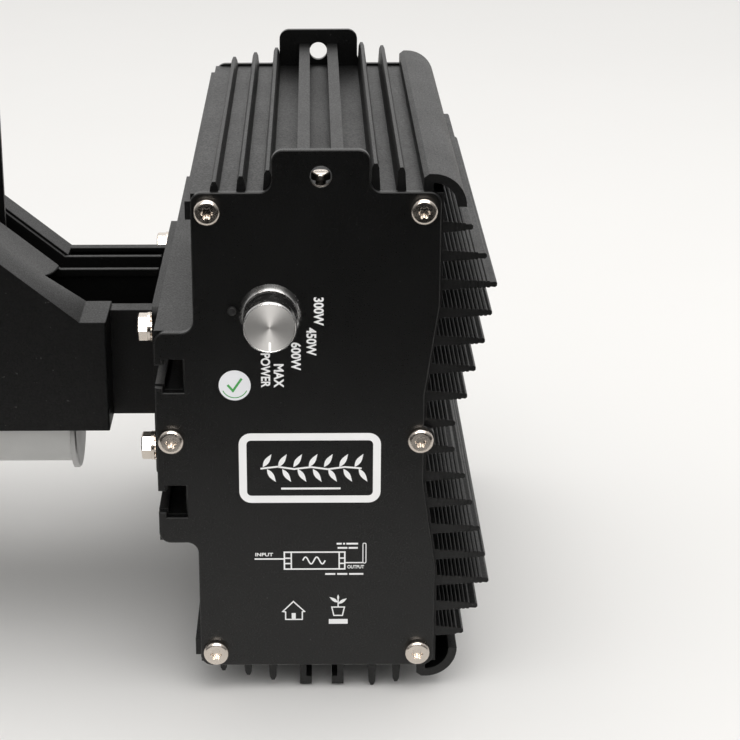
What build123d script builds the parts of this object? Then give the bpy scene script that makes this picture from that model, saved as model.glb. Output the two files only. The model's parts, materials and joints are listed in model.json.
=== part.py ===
from build123d import *
import math
import os

# Grow lamp: a finned ballast, a sheet-metal arm bolted to its T-slots, and a hood with a double-ended lamp.
# Lengths are millimetres. The origin is the front hanging hole, on the front panel's outer face.
# Sketches are drawn from the ballast's centre line, which lies HANG_X and HANG_Z away from that hole.

# --- driving dimensions ---------------------------------------------------------------------------------
HANG_X = 2.0            # hanging hole beside the ballast's centre line
HANG_Z = 104.0          # hanging hole above the ballast's centre line
HANG_HOLE_R = 4.1

BALLAST_LEN = 230.0     # over both panels
PANEL_T = 3.0
BODY_LEFT = -46.2       # left wall of the housing
BODY_RIGHT = 47.5       # right wall, where the longest fins stand
WAIST_X = 42.5          # right wall, drawn in at mid height
DECK_Z = 97.0           # top wall
WALL = 3.5
BLOCK_LEFT = -61.3      # face of the T-slot block that carries the arm
BLOCK_Z = 43.5

FIN_PITCH = 11.2
FIN_TIPS = [53.5, 57.8, 60.8, 64.0, 66.4, 68.0, 63.9, 58.5]     # from mid height outwards
FIN_ROOT_T = 4.4
FIN_TIP_T = 2.2
GROOVE_PITCH = 1.6
GROOVE_DEPTH = 0.4
TOP_FINS = [(-37.4, 101.4), (-27.5, 103.5), (-17.6, 105.7), (22.2, 108.1), (31.8, 106.6)]

HOOK_X, HOOK_Z = 43.5, 91.5     # centre of the shroud's curve
HOOK_R = 12.6
HOOK_T = 3.4

SLOT_OPEN = 8.0         # T-slot mouth
SLOT_WIDE = 12.4        # T-slot width inside
SLOT_LIP = 3.5
SLOT_DEEP = 7.1
SLOT_Z = 26.0           # the two left T-slots, above and below the centre line
RAIL_TOP = 107.5        # top T-slot rail
STOP_Y = 11.0           # stop screw in the top T-slot
STOP_HEAD = 3.4         # underside of its head above the deck

SCREW_PLACES = [(-40, 91), (40, 91), (-40, -91), (40, -91), (40, 0), (-55.6, 0)]
SCREW_R = 2.5
PAN_R = 5.0             # head of a panel screw
PAN_H = 3.2
TORX_R = 1.75           # its six-lobed recess
LOBE_R = 0.55
SCREW_LEN = 16.0
PORT_R = 2.6

KNOB_X, KNOB_Z = -17.0, 51.2
KNOB_R = 10.1
SKIRT_R = 12.0
KNOB_H = 17.0
SHAFT_R = 3.0
BUSH_HOLE_R = 4.6       # panel hole for the switch's threaded bush

PLATE_T = 4.5           # arm's mounting plate
PLATE_Y = (50.0, 180.0)
PLATE_Z = 36.0
BOLT_Y = (58.0, 172.0)
BOLT_R = 2.9

SHEET = 2.0
ARM_Y = (66.0, 158.0)   # outer faces of the arm's side walls
ARM_BOTTOM = -15.0
ARM_TOP = 30.4
ARM_END = -182.0
SLOPE = math.tan(math.radians(39.0))
ARM_BEND = -109.5       # where the arm's walls start to rise
ROOF_Z = 86.0           # top of the hood
COVER_Y = 47.0          # front face of the neck cover
COVER_RIGHT = -84.0
COVER_BEND = -94.5
COVER_TOP = 31.5
COVER_END = -172.0

LAMP_Y, LAMP_Z = 112.0, -36.0
GLASS_R = 15.0
HOOD_END = -465.0
REFLECTOR_X = (-186.0, -412.0)
REFLECTOR_HALF = 114.0
REFLECTOR_LOW = -78.0

GROMMET_R = 5.0
LEAD_R = 2.4
FAR_LEAD = (126.4, 11.0)        # where each lamp lead passes the plate, as Y and Z
NEAR_LEAD = (106.0, -6.5)

FACE = PANEL_T                          # housing starts behind the front panel
REAR = BALLAST_LEN - PANEL_T            # and ends in front of the rear panel
PLATE_FACE = BLOCK_LEFT - PLATE_T       # arm side of the mounting plate
COVER_ROOF_X = COVER_BEND - (ROOF_Z - COVER_TOP) / SLOPE
ARM_ROOF_X = ARM_BEND - (ROOF_Z - ARM_TOP) / SLOPE
SPINE_Y = (ARM_Y[0] + SHEET, ARM_Y[1] - SHEET)
SPINE_LOW = 52.0

os.makedirs("parts", exist_ok=True)


# --- helpers --------------------------------------------------------------------------------------------
def across(y):
    """Plane parallel to the front panel at depth y; local axes are X and Z."""
    return Plane(origin=(-HANG_X, y, -HANG_Z), x_dir=(1, 0, 0), z_dir=(0, -1, 0))


def beside(x):
    """Plane square to the lamp's axis at x; local axes are Y and Z, and it faces +X."""
    return Plane(origin=(x - HANG_X, 0, -HANG_Z), x_dir=(0, 1, 0), z_dir=(1, 0, 0))


def level(z):
    """Horizontal plane at height z above the ballast's centre line."""
    return Plane(origin=(-HANG_X, 0, z - HANG_Z), x_dir=(1, 0, 0), z_dir=(0, 0, 1))


def save(builder, name):
    builder.part.label = name
    export_step(builder.part, f"parts/{name}.step")


def spread(low, high):
    """Centre and length of a span."""
    return (low + high) / 2, abs(high - low)


def span_rectangle(x0, x1, y0, y1, mode=Mode.ADD):
    """Rectangle between two corners of the current sketch."""
    cx, width = spread(x0, x1)
    cy, height = spread(y0, y1)
    with Locations((cx, cy)):
        Rectangle(width, height, mode=mode)


def t_slot(grow=0.0, mode=Mode.SUBTRACT):
    """The T-slot's section in the left block, at the current location, mouth to -X."""
    mouth = BLOCK_LEFT
    neck = SLOT_OPEN / 2 + grow
    wide = SLOT_WIDE / 2 + grow
    inner = mouth + SLOT_LIP - grow
    deep = inner + SLOT_DEEP + 2 * grow
    pts = [(mouth - 1, neck), (inner, neck), (inner, wide), (deep, wide), (deep, -wide)]
    pts += [(inner, -wide), (inner, -neck), (mouth - 1, -neck)]
    Polygon(*pts, align=None, mode=mode)


def grooved_fin(root_x, tip_x, z):
    """One tapered cooling fin with fine grooves along both faces and a rounded tip."""
    def half(x):
        share = (x - root_x) / (tip_x - root_x)
        return (FIN_ROOT_T + (FIN_TIP_T - FIN_ROOT_T) * share) / 2

    teeth = int((tip_x - root_x - 2.0) / GROOVE_PITCH)
    upper = [(root_x - 3.0, FIN_ROOT_T / 2)]
    for i in range(teeth):
        x = root_x + 0.8 + i * GROOVE_PITCH
        upper.append((x, half(x)))
        upper.append((x + GROOVE_PITCH * 0.55, half(x)))
        upper.append((x + GROOVE_PITCH * 0.78, half(x) - GROOVE_DEPTH))
    upper.append((tip_x - 0.7, half(tip_x)))
    upper.append((tip_x, half(tip_x) * 0.45))
    pts = [(x, z + h) for x, h in upper] + [(x, z - h) for x, h in reversed(upper)]
    Polygon(*pts, align=None)


def wall_x(z):
    """Right wall of the housing at height z: full width high up, drawn in at the waist."""
    share = min(max((abs(z) - 20.0) / 36.0, 0.0), 1.0)
    return WAIST_X + (BODY_RIGHT - WAIST_X) * share


def hook(side):
    """Curved shroud over the outermost fins, with a foot on the housing's wall; side mirrors it."""
    def at(x, z):
        return (HOOK_X + x, side * (HOOK_Z + z))

    diagonal = math.sqrt(0.5)
    inner = HOOK_R - HOOK_T
    with BuildLine() as edge:
        Polyline(at(-3.5, DECK_Z - 1 - HOOK_Z), at(-3.5, HOOK_R - 1.5), at(-1.5, HOOK_R), at(0, HOOK_R))
        ThreePointArc(at(0, HOOK_R), at(HOOK_R * diagonal, HOOK_R * diagonal), at(HOOK_R, 0))
        Line(at(HOOK_R, 0), at(inner, 0))
        ThreePointArc(at(inner, 0), at(inner * diagonal, inner * diagonal), at(0, inner))
        Polyline(at(0, inner), at(0, DECK_Z - 1 - HOOK_Z), at(-3.5, DECK_Z - 1 - HOOK_Z))
    make_face(edge.edges())


# --- ballast housing: two equal extrusions that meet at the centre line ---------------------------------
def housing_half(side):
    """Sketch of one half; side is +1 above the centre line and -1 below it."""
    def at(points):
        return [(x, side * z) for x, z in points]

    skin = [(BLOCK_LEFT, 0), (BLOCK_LEFT, BLOCK_Z), (BODY_LEFT, BLOCK_Z), (BODY_LEFT, 87), (-48.4, 87)]
    skin += [(-48.4, 94), (BODY_LEFT, 94), (BODY_LEFT, DECK_Z), (BODY_RIGHT, DECK_Z), (BODY_RIGHT, 56)]
    skin += [(WAIST_X, 20), (WAIST_X, 0)]
    Polygon(*at(skin), align=None)
    room = [(BODY_LEFT + WALL, 0), (BODY_LEFT + WALL, DECK_Z - WALL), (BODY_RIGHT - WALL, DECK_Z - WALL)]
    room += [(BODY_RIGHT - WALL, 57), (WAIST_X - WALL, 21), (WAIST_X - WALL, 0)]
    Polygon(*at(room), align=None, mode=Mode.SUBTRACT)
    with Locations(*at([(-40, 91), (40, 91)])):
        Circle(5.2)
    half_port = at([(34.0, 0), (34.0, 4.2), (36.2, 6.2), (WAIST_X, 6.2), (WAIST_X, 0)])
    Polygon(*half_port, align=None)
    for i, tip in enumerate(FIN_TIPS):
        z = FIN_PITCH * (i + 0.482)
        grooved_fin(wall_x(z), tip, side * z)
    for x, top in TOP_FINS:
        blade = [(x - 1.9, DECK_Z - 1), (x - 1.3, top - 1.6), (x - 0.6, top), (x + 0.6, top)]
        blade += [(x + 1.3, top - 1.6), (x + 1.9, DECK_Z - 1)]
        Polygon(*at(blade), align=None)
    rail_low = sorted((side * (DECK_Z - 1), side * RAIL_TOP))
    span_rectangle(HANG_X - 8.8, HANG_X + 8.8, *rail_low)
    wide_z = sorted((side * (DECK_Z + 0.5), side * (RAIL_TOP - SLOT_LIP)))
    span_rectangle(HANG_X - SLOT_WIDE / 2, HANG_X + SLOT_WIDE / 2, *wide_z, mode=Mode.SUBTRACT)
    mouth_z = sorted((side * (RAIL_TOP - SLOT_LIP - 1), side * (RAIL_TOP + 1)))
    span_rectangle(HANG_X - SLOT_OPEN / 2, HANG_X + SLOT_OPEN / 2, *mouth_z, mode=Mode.SUBTRACT)
    hook(side)
    with Locations((0, side * SLOT_Z)):
        t_slot()
    with Locations(*at([(-40, 91), (40, 91), (40, 0), (-55.6, 0)])):
        Circle(PORT_R, mode=Mode.SUBTRACT)


with BuildPart() as housing_upper:
    with BuildSketch(across(FACE)):
        housing_half(1)
    extrude(amount=-(REAR - FACE))
    with BuildSketch(beside(BODY_LEFT + WALL + 2)):
        with Locations(FAR_LEAD):
            Circle(GROMMET_R + 0.05)
    extrude(amount=BLOCK_LEFT - BODY_LEFT - WALL - 4, mode=Mode.SUBTRACT)
    with BuildSketch(level(RAIL_TOP)):
        with Locations((HANG_X, STOP_Y)):
            Circle(2.1)
    extrude(amount=-(RAIL_TOP - DECK_Z + 8), mode=Mode.SUBTRACT)
save(housing_upper, "housing_upper")

with BuildPart() as housing_lower:
    with BuildSketch(across(FACE)):
        housing_half(-1)
    extrude(amount=-(REAR - FACE))
    with BuildSketch(beside(BODY_LEFT + WALL + 2)):
        with Locations(NEAR_LEAD):
            Circle(GROMMET_R + 0.05)
    extrude(amount=BLOCK_LEFT - BODY_LEFT - WALL - 4, mode=Mode.SUBTRACT)
save(housing_lower, "housing_lower")


# --- end panels -----------------------------------------------------------------------------------------
def panel_outline():
    """Sketch of an end panel with its hanging tab and its screw holes."""
    edge = [(BODY_LEFT, 98), (BODY_LEFT, BLOCK_Z), (BLOCK_LEFT, BLOCK_Z), (BLOCK_LEFT, -BLOCK_Z)]
    edge += [(BODY_LEFT, -BLOCK_Z), (BODY_LEFT, -97.5), (46.5, -97.5), (46.5, -54), (41.3, -18)]
    edge += [(41.3, 18), (46.5, 54), (46.5, 98)]
    tab = [(HANG_X + 18.2, 98), (HANG_X + 18.2, 114), (HANG_X - 18.2, 114), (HANG_X - 18.2, 98)]
    with BuildLine() as border:
        FilletPolyline(*edge, *tab, radius=4.5, close=True)
    make_face(border.edges())
    with Locations((40, 0)):
        Circle(5.6)
    with Locations((0, SLOT_Z), (0, -SLOT_Z)):
        t_slot(grow=0.5)
    with Locations(*SCREW_PLACES):
        Circle(SCREW_R + 0.3, mode=Mode.SUBTRACT)
    with Locations((HANG_X, HANG_Z)):
        Circle(HANG_HOLE_R, mode=Mode.SUBTRACT)


INLET_X, INLET_Z = -12.0, -52.0
PORT_PLACES = [(22.0, -44.0), (22.0, -64.0)]
FUSE_PLACE = (-12.0, -20.0)
NUB_X, NUB_Z = KNOB_X - 14.4, KNOB_Z + 1.2

with BuildPart() as front_panel:
    with BuildSketch(across(0)):
        panel_outline()
        with Locations((KNOB_X, KNOB_Z)):
            Circle(BUSH_HOLE_R, mode=Mode.SUBTRACT)
        with Locations((NUB_X, NUB_Z)):
            Circle(1.2, mode=Mode.SUBTRACT)
    extrude(amount=-PANEL_T)
    chamfer(front_panel.faces().sort_by(Axis.Y)[0].outer_wire().edges(), 0.4)
save(front_panel, "front_panel")

with BuildPart() as rear_panel:
    with BuildSketch(across(REAR)):
        panel_outline()
        span_rectangle(INLET_X - 14.2, INLET_X + 14.2, INLET_Z - 10.2, INLET_Z + 10.2, mode=Mode.SUBTRACT)
        with Locations((INLET_X - 20, INLET_Z), (INLET_X + 20, INLET_Z)):
            Circle(1.8, mode=Mode.SUBTRACT)
        with Locations(*PORT_PLACES):
            Rectangle(14.4, 12.4, mode=Mode.SUBTRACT)
        with Locations(FUSE_PLACE):
            Circle(6.2, mode=Mode.SUBTRACT)
    extrude(amount=-PANEL_T)
    chamfer(rear_panel.faces().sort_by(Axis.Y)[-1].outer_wire().edges(), 0.4)
save(rear_panel, "rear_panel")


# --- fasteners ------------------------------------------------------------------------------------------
def pan_screws(places, face_y, inward):
    """Torx pan-head screws through a panel; inward is +1 at the front and -1 at the rear."""
    with BuildSketch(across(face_y)) as head:
        with Locations(*places):
            Circle(PAN_R)
    extrude(head.sketch, amount=inward * PAN_H)
    heads = faces().sort_by(Axis.Y)[:len(places)] if inward > 0 else faces().sort_by(Axis.Y)[-len(places):]
    fillet([e for f in heads for e in f.edges()], 1.4)
    with BuildSketch(across(face_y)) as shank:
        with Locations(*places):
            Circle(SCREW_R)
    extrude(shank.sketch, amount=-inward * SCREW_LEN)
    with BuildSketch(across(face_y - inward * PAN_H)) as recess:
        for x, z in places:
            with Locations((x, z)):
                Circle(TORX_R)
                with PolarLocations(TORX_R, 6):
                    Circle(LOBE_R)
    extrude(recess.sketch, amount=-inward * 1.9, mode=Mode.SUBTRACT)


with BuildPart() as front_screws:
    pan_screws(SCREW_PLACES, 0, 1)
save(front_screws, "front_screws")

with BuildPart() as rear_screws:
    pan_screws(SCREW_PLACES, BALLAST_LEN, -1)
save(rear_screws, "rear_screws")

with BuildPart() as slot_screw:
    with BuildSketch(level(DECK_Z - 9)):
        with Locations((HANG_X, STOP_Y)):
            Circle(2.0)
    extrude(amount=9 + STOP_HEAD)
    with BuildSketch(level(DECK_Z + STOP_HEAD)):
        with Locations((HANG_X, STOP_Y)):
            Circle(3.7)
    extrude(amount=2.8)
    fillet(faces().sort_by(Axis.Z)[-1].edges(), 1.1)
    with BuildSketch(level(DECK_Z + STOP_HEAD + 2.8)):
        with Locations((HANG_X, STOP_Y)):
            Rectangle(7.6, 0.9)
    extrude(amount=-1.1, mode=Mode.SUBTRACT)
save(slot_screw, "slot_screw")


def bolt_places():
    return [(y, z) for y in BOLT_Y for z in (SLOT_Z, -SLOT_Z)]


WASHER_T = 1.3
TOOTHED_T = 0.9
HEAD_T = 4.0
STAR_FACE = PLATE_FACE - TOOTHED_T
HEAD_FACE = STAR_FACE - WASHER_T

with BuildPart() as arm_bolts:
    with BuildSketch(beside(HEAD_FACE)):
        with Locations(*bolt_places()):
            RegularPolygon(5.77, 6)
    extrude(amount=-HEAD_T)
    with BuildSketch(beside(HEAD_FACE)):
        with Locations(*bolt_places()):
            Circle(BOLT_R)
    extrude(amount=14.5)
    chamfer(faces().sort_by(Axis.X)[-4:].edges(), 0.5)
    chamfer(faces().sort_by(Axis.X)[:4].edges(), 0.5)
save(arm_bolts, "arm_bolts")

with BuildPart() as flat_washers:
    with BuildSketch(beside(STAR_FACE)):
        with Locations(*bolt_places()):
            Circle(6.0)
            Circle(3.15, mode=Mode.SUBTRACT)
    extrude(amount=-WASHER_T)
save(flat_washers, "flat_washers")

with BuildPart() as lock_washers:
    with BuildSketch(beside(PLATE_FACE)):
        for y, z in bolt_places():
            with Locations((y, z)):
                Circle(4.6)
                with PolarLocations(5.0, 14):
                    Rectangle(1.9, 1.3)
                Circle(3.15, mode=Mode.SUBTRACT)
    extrude(amount=-TOOTHED_T)
save(lock_washers, "lock_washers")

with BuildPart() as slot_nuts:
    with BuildSketch(beside(BLOCK_LEFT + SLOT_LIP + 0.1)):
        with Locations(*bolt_places()):
            Rectangle(12.0, 11.8)
            Circle(BOLT_R + 0.1, mode=Mode.SUBTRACT)
    extrude(amount=5.0)
save(slot_nuts, "slot_nuts")


# --- dimmer ---------------------------------------------------------------------------------------------
with BuildPart() as dimmer_knob:
    with BuildSketch(across(-0.4)):
        with Locations((KNOB_X, KNOB_Z)):
            Circle(SKIRT_R)
    extrude(amount=2.6)
    with BuildSketch(across(-3.0)):
        with Locations((KNOB_X, KNOB_Z)):
            Circle(KNOB_R)
    extrude(amount=KNOB_H - 3.0)
    chamfer(faces().sort_by(Axis.Y)[0].edges(), 0.8)
    with BuildSketch(across(-0.4)):
        with Locations((KNOB_X, KNOB_Z)):
            Circle(8.3)
    extrude(amount=3.8, mode=Mode.SUBTRACT)
    with BuildSketch(across(-4.2)):
        with Locations((KNOB_X, KNOB_Z)):
            Circle(SHAFT_R + 0.02)
    extrude(amount=9.0, mode=Mode.SUBTRACT)
save(dimmer_knob, "dimmer_knob")

with BuildPart() as dimmer_shaft:
    with BuildSketch(across(9.0)):
        with Locations((KNOB_X, KNOB_Z)):
            Circle(SHAFT_R)
    extrude(amount=21.5)
save(dimmer_shaft, "dimmer_shaft")

with BuildPart() as dimmer_switch:
    with BuildSketch(across(PANEL_T + 0.1)):
        with Locations((KNOB_X, KNOB_Z)):
            RegularPolygon(11.0, 8)
    extrude(amount=-12.0)
    with BuildSketch(across(PANEL_T + 1)):
        with Locations((KNOB_X, KNOB_Z)):
            Circle(4.5)
    extrude(amount=PANEL_T + 1 + 3.2)
    with BuildSketch(across(PANEL_T + 6.5)):
        with Locations((KNOB_X, KNOB_Z)):
            Circle(SHAFT_R + 0.06)
    extrude(amount=PANEL_T + 11, mode=Mode.SUBTRACT)
save(dimmer_switch, "dimmer_switch")

with BuildPart() as dimmer_nut:
    with BuildSketch(across(0)):
        with Locations((KNOB_X, KNOB_Z)):
            RegularPolygon(7.2, 6)
            Circle(4.55, mode=Mode.SUBTRACT)
    extrude(amount=2.4)
save(dimmer_nut, "dimmer_nut")

with BuildPart() as guide_nub:
    with BuildSketch(across(2.5)):
        with Locations((NUB_X, NUB_Z)):
            Circle(1.1)
    extrude(amount=2.5)
    with BuildSketch(across(0)):
        with Locations((NUB_X, NUB_Z)):
            Circle(1.7)
    extrude(amount=1.6)
    fillet(faces().sort_by(Axis.Y)[0].edges(), 0.7)
save(guide_nub, "guide_nub")


# --- electronics inside the ballast ---------------------------------------------------------------------
BOARD_X = -30.0         # face of the board towards the plate
BOARD_T = 1.6
BOARD_MID = 115.0       # its middle along the ballast
BOARD_SIZE = (200.0, 150.0)
BOARD_HOLES = (188.0, 138.0)
STUD_R = 1.7            # clearance of an M3 screw

with BuildPart() as circuit_board:
    with BuildSketch(beside(BOARD_X)):
        with Locations((BOARD_MID, 0)):
            Rectangle(*BOARD_SIZE)
            with GridLocations(*BOARD_HOLES, 2, 2):
                Circle(STUD_R, mode=Mode.SUBTRACT)
    extrude(amount=BOARD_T)
save(circuit_board, "circuit_board")

with BuildPart() as insulation_sheet:
    with BuildSketch(beside(BODY_LEFT + WALL + 0.2)):
        with Locations((BOARD_MID, 0)):
            Rectangle(210, 164)
            with GridLocations(*BOARD_HOLES, 2, 2):
                Circle(3.4, mode=Mode.SUBTRACT)
            with Locations((1, 3)):
                Rectangle(50, 32, mode=Mode.SUBTRACT)
    extrude(amount=0.5)
save(insulation_sheet, "insulation_sheet")

with BuildPart() as board_spacers:
    with BuildSketch(beside(BODY_LEFT + WALL)):
        with Locations((BOARD_MID, 0)):
            with GridLocations(*BOARD_HOLES, 2, 2):
                RegularPolygon(3.2, 6)
                Circle(STUD_R, mode=Mode.SUBTRACT)
    extrude(amount=BOARD_X - BODY_LEFT - WALL)
save(board_spacers, "board_spacers")

with BuildPart() as board_screws:
    with BuildSketch(beside(BOARD_X + BOARD_T)):
        with Locations((BOARD_MID, 0)):
            with GridLocations(*BOARD_HOLES, 2, 2):
                Circle(2.8)
    extrude(amount=2.0)
    with BuildSketch(beside(BOARD_X + BOARD_T)):
        with Locations((BOARD_MID, 0)):
            with GridLocations(*BOARD_HOLES, 2, 2):
                Circle(1.5)
    extrude(amount=-8.0)
save(board_screws, "board_screws")

TOP_OF_BOARD = BOARD_X + BOARD_T

with BuildPart() as transformer_core:
    with BuildSketch(beside(TOP_OF_BOARD + 0.1)):
        with Locations((150, -10)):
            Rectangle(46, 42)
            with Locations((0, 13.5), (0, -13.5)):
                Rectangle(28, 7.4, mode=Mode.SUBTRACT)
    extrude(amount=38)
save(transformer_core, "transformer_core")

with BuildPart() as transformer_winding:
    with BuildSketch(beside(TOP_OF_BOARD + 4)):
        with Locations((150, -10)):
            for z in (13.5, -13.5):
                with Locations((0, z)):
                    Rectangle(27.4, 6.8)
    extrude(amount=30)
save(transformer_winding, "transformer_winding")

with BuildPart() as board_chokes:
    with BuildSketch(beside(TOP_OF_BOARD + 0.1)):
        with Locations((88, -38), (88, 34)):
            Circle(15)
            Circle(6.5, mode=Mode.SUBTRACT)
    extrude(amount=20)
    fillet(edges().filter_by(GeomType.CIRCLE), 1.5)
save(board_chokes, "board_chokes")

with BuildPart() as board_capacitors:
    with BuildSketch(beside(TOP_OF_BOARD + 0.1)):
        with Locations((52, -48), (52, -10), (196, 40)):
            Circle(12.5)
    extrude(amount=44)
    fillet(faces().sort_by(Axis.X)[-3:].edges(), 1.5)
save(board_capacitors, "board_capacitors")

with BuildPart() as power_transistors:
    with BuildSketch(beside(TOP_OF_BOARD + 6)):
        with Locations((BOARD_MID, 62)):
            with GridLocations(24, 1, 6, 1):
                Rectangle(16, 4.8)
    extrude(amount=20)
save(power_transistors, "power_transistors")


# --- rear panel fittings --------------------------------------------------------------------------------
PIN_PLACES = [(INLET_X - 7, INLET_Z - 2), (INLET_X, INLET_Z + 2.5), (INLET_X + 7, INLET_Z - 2)]

with BuildPart() as mains_inlet:
    with BuildSketch(across(BALLAST_LEN)):
        span_rectangle(INLET_X - 25, INLET_X + 25, INLET_Z - 13, INLET_Z + 13)
    extrude(amount=-3)
    fillet(edges().filter_by(Axis.Y), 4)
    with BuildSketch(across(BALLAST_LEN)):
        span_rectangle(INLET_X - 14, INLET_X + 14, INLET_Z - 10, INLET_Z + 10)
    extrude(amount=18)
    with BuildSketch(across(BALLAST_LEN + 3)):
        with Locations((INLET_X, INLET_Z)):
            Rectangle(24.4, 16.4)
    extrude(amount=18, mode=Mode.SUBTRACT)
    with BuildSketch(across(BALLAST_LEN + 3)):
        with Locations((INLET_X - 20, INLET_Z), (INLET_X + 20, INLET_Z)):
            Circle(1.8)
    extrude(amount=3, mode=Mode.SUBTRACT)
    with BuildSketch(across(BALLAST_LEN - 15)):
        with Locations(*PIN_PLACES):
            Rectangle(1, 4)
    extrude(amount=3, mode=Mode.SUBTRACT)
save(mains_inlet, "mains_inlet")

with BuildPart() as inlet_pins:
    with BuildSketch(across(BALLAST_LEN - 15)):
        with Locations(*PIN_PLACES):
            Rectangle(2, 4)
    extrude(amount=-15)
    with BuildSketch(across(BALLAST_LEN - 22)):
        with Locations(*PIN_PLACES):
            Rectangle(1, 4)
    extrude(amount=-7)
save(inlet_pins, "inlet_pins")

with BuildPart() as inlet_screws:
    with BuildSketch(across(BALLAST_LEN + 3)):
        with Locations((INLET_X - 20, INLET_Z), (INLET_X + 20, INLET_Z)):
            Circle(3.0)
    extrude(amount=-2)
    fillet(faces().sort_by(Axis.Y)[-2:].edges(), 0.9)
    with BuildSketch(across(BALLAST_LEN + 3)):
        with Locations((INLET_X - 20, INLET_Z), (INLET_X + 20, INLET_Z)):
            Circle(1.5)
    extrude(amount=12)
save(inlet_screws, "inlet_screws")

with BuildPart() as fuse_holder:
    with BuildSketch(across(BALLAST_LEN)):
        with Locations(FUSE_PLACE):
            Circle(8)
    extrude(amount=-4)
    with BuildSketch(across(BALLAST_LEN)):
        with Locations(FUSE_PLACE):
            Circle(6)
    extrude(amount=24)
    with BuildSketch(across(BALLAST_LEN + 4)):
        with Locations(FUSE_PLACE):
            Rectangle(9, 1.4)
    extrude(amount=1.5, mode=Mode.SUBTRACT)
save(fuse_holder, "fuse_holder")

with BuildPart() as control_ports:
    with BuildSketch(across(BALLAST_LEN + 0.8)):
        with Locations(*PORT_PLACES):
            Rectangle(16, 14)
    extrude(amount=0.8)
    with BuildSketch(across(BALLAST_LEN)):
        with Locations(*PORT_PLACES):
            Rectangle(14, 12)
    extrude(amount=16)
    with BuildSketch(across(BALLAST_LEN + 0.8)):
        with Locations(*PORT_PLACES):
            Rectangle(11, 7.5)
    extrude(amount=13, mode=Mode.SUBTRACT)
save(control_ports, "control_ports")


# --- arm ------------------------------------------------------------------------------------------------
PLATE_SCREWS = [(76, -8), (92, 20), (146, -8), (146, 20)]

with BuildPart() as mounting_plate:
    with BuildSketch(beside(BLOCK_LEFT)):
        with Locations(((PLATE_Y[0] + PLATE_Y[1]) / 2, 0)):
            RectangleRounded(PLATE_Y[1] - PLATE_Y[0], 2 * PLATE_Z, 4)
        with Locations(*bolt_places()):
            Circle(3.2, mode=Mode.SUBTRACT)
        with Locations(FAR_LEAD, NEAR_LEAD):
            Circle(GROMMET_R + 0.05, mode=Mode.SUBTRACT)
        with Locations(*PLATE_SCREWS):
            Circle(2.1, mode=Mode.SUBTRACT)
    extrude(amount=-PLATE_T)
save(mounting_plate, "mounting_plate")


def side_outline():
    """Side wall of the arm: level beside the ballast, then rising to the hood's roof."""
    edge = [(PLATE_FACE, ARM_BOTTOM), (PLATE_FACE, ARM_TOP), (ARM_BEND, ARM_TOP), (ARM_ROOF_X, ROOF_Z)]
    edge += [(ARM_END, ROOF_Z), (ARM_END, ARM_BOTTOM)]
    Polygon(*edge, align=None)


def rising_strip(y0, y1, thickness, x_end):
    """Flange that follows the arm's rising edge, from the bend to x_end."""
    drop = thickness / math.cos(math.atan(SLOPE))
    z_end = ARM_TOP + (ARM_BEND - x_end) * SLOPE
    strip = [(ARM_BEND, ARM_TOP), (x_end, z_end), (x_end, z_end - drop), (ARM_BEND, ARM_TOP - drop)]
    with BuildSketch(across(y0)) as flange:
        Polygon(*strip, align=None)
    extrude(flange.sketch, amount=-(y1 - y0))


SPINE_SCREWS = [(-179, 62), (-179, 76)]

with BuildPart() as arm_channel:
    for wall_y in (ARM_Y[0], ARM_Y[1] - SHEET):
        with BuildSketch(across(wall_y)):
            side_outline()
        extrude(amount=-SHEET)
    with BuildSketch(beside(PLATE_FACE)):
        span_rectangle(ARM_Y[0], ARM_Y[1], ARM_BOTTOM, ARM_BOTTOM + SHEET)
    extrude(amount=ARM_END - PLATE_FACE)
    with BuildSketch(beside(PLATE_FACE)):
        span_rectangle(ARM_Y[0], ARM_Y[1], ARM_BOTTOM, ARM_TOP - SHEET)
        with Locations(*PLATE_SCREWS):
            Circle(2.1, mode=Mode.SUBTRACT)
        with Locations(FAR_LEAD, NEAR_LEAD):
            Circle(GROMMET_R + 0.05, mode=Mode.SUBTRACT)
    extrude(amount=-SHEET)
    with BuildSketch(beside(PLATE_FACE)):
        span_rectangle(ARM_Y[0], ARM_Y[0] + 8.5, ARM_TOP - SHEET, ARM_TOP)
        span_rectangle(ARM_Y[1] - 5.0, ARM_Y[1], ARM_TOP - SHEET, ARM_TOP)
    extrude(amount=ARM_BEND - PLATE_FACE)
    rising_strip(ARM_Y[1] - 15.0, ARM_Y[1], SHEET, ARM_ROOF_X + 4)
    with BuildSketch(across(ARM_Y[0])):
        with Locations(*SPINE_SCREWS):
            Circle(1.7)
    extrude(amount=-(ARM_Y[1] - ARM_Y[0]), mode=Mode.SUBTRACT)
    with BuildSketch(level(ARM_BOTTOM)):
        with Locations((-138.0, LAMP_Y)):
            Circle(4.5)
    extrude(amount=SHEET, mode=Mode.SUBTRACT)
save(arm_channel, "arm_channel")

with BuildPart() as arm_screws:
    with BuildSketch(beside(PLATE_FACE - SHEET)):
        with Locations(*PLATE_SCREWS):
            Circle(3.6)
    extrude(amount=-2.4)
    fillet(faces().sort_by(Axis.X)[:4].edges(), 1.0)
    with BuildSketch(beside(PLATE_FACE - SHEET)):
        with Locations(*PLATE_SCREWS):
            Circle(2.0)
    extrude(amount=SHEET + PLATE_T)
save(arm_screws, "arm_screws")

DUCT_Y = (121.0, 142.3)         # front and rear faces of the duct, over its hemmed edges
DUCT_FLOOR = 3.0
DUCT_START = PLATE_FACE - SHEET - 0.2
HEM = 2.6
RISE_END = -170.0


def duct_path(offset):
    """Level run beside the ballast and then the rise, offset down from the duct's top edge."""
    level_z = ARM_TOP - offset
    shift = offset * math.tan(math.atan(SLOPE) / 2)
    bend_x = ARM_BEND - shift - 1.2
    return [(DUCT_START, level_z), (bend_x, level_z), (RISE_END, level_z + (bend_x - RISE_END) * SLOPE)]


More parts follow.
